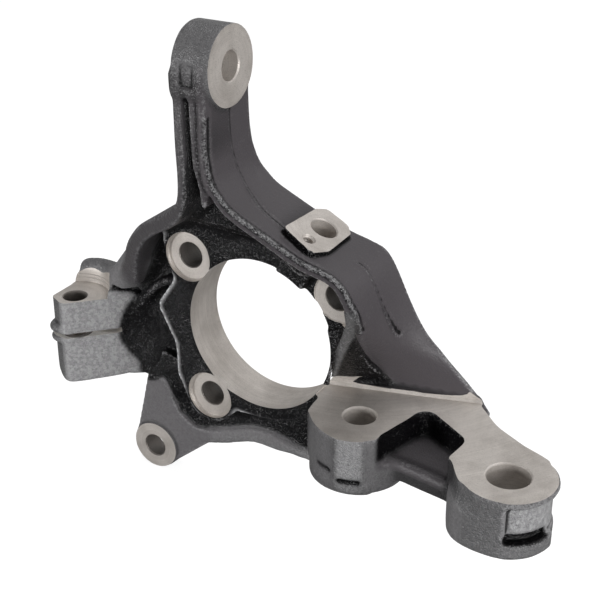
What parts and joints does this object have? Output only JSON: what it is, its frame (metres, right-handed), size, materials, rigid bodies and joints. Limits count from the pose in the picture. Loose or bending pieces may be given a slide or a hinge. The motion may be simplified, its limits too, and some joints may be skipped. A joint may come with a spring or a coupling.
{
  "type": "steering knuckle",
  "caption": "Cast steering knuckle with a hub bore, a steering arm, a strut flange, a clamp for the ball joint and ears for the caliper bracket.",
  "frame": {"origin": "centre of the hub bore on the ring's inboard face", "axes": "+Y along the wheel axis, outboard; +Z along the strut bolts and towards the steering arm's end; +X towards the strut flange, up on the car"},
  "size_m": [0.3098, 0.0861, 0.2774],
  "materials": {
    "casting": "black coat over the casting, bare machined faces and bores"
  },
  "bodies": {
    "root": {"knuckle": "casting"}
  },
  "joints": []
}
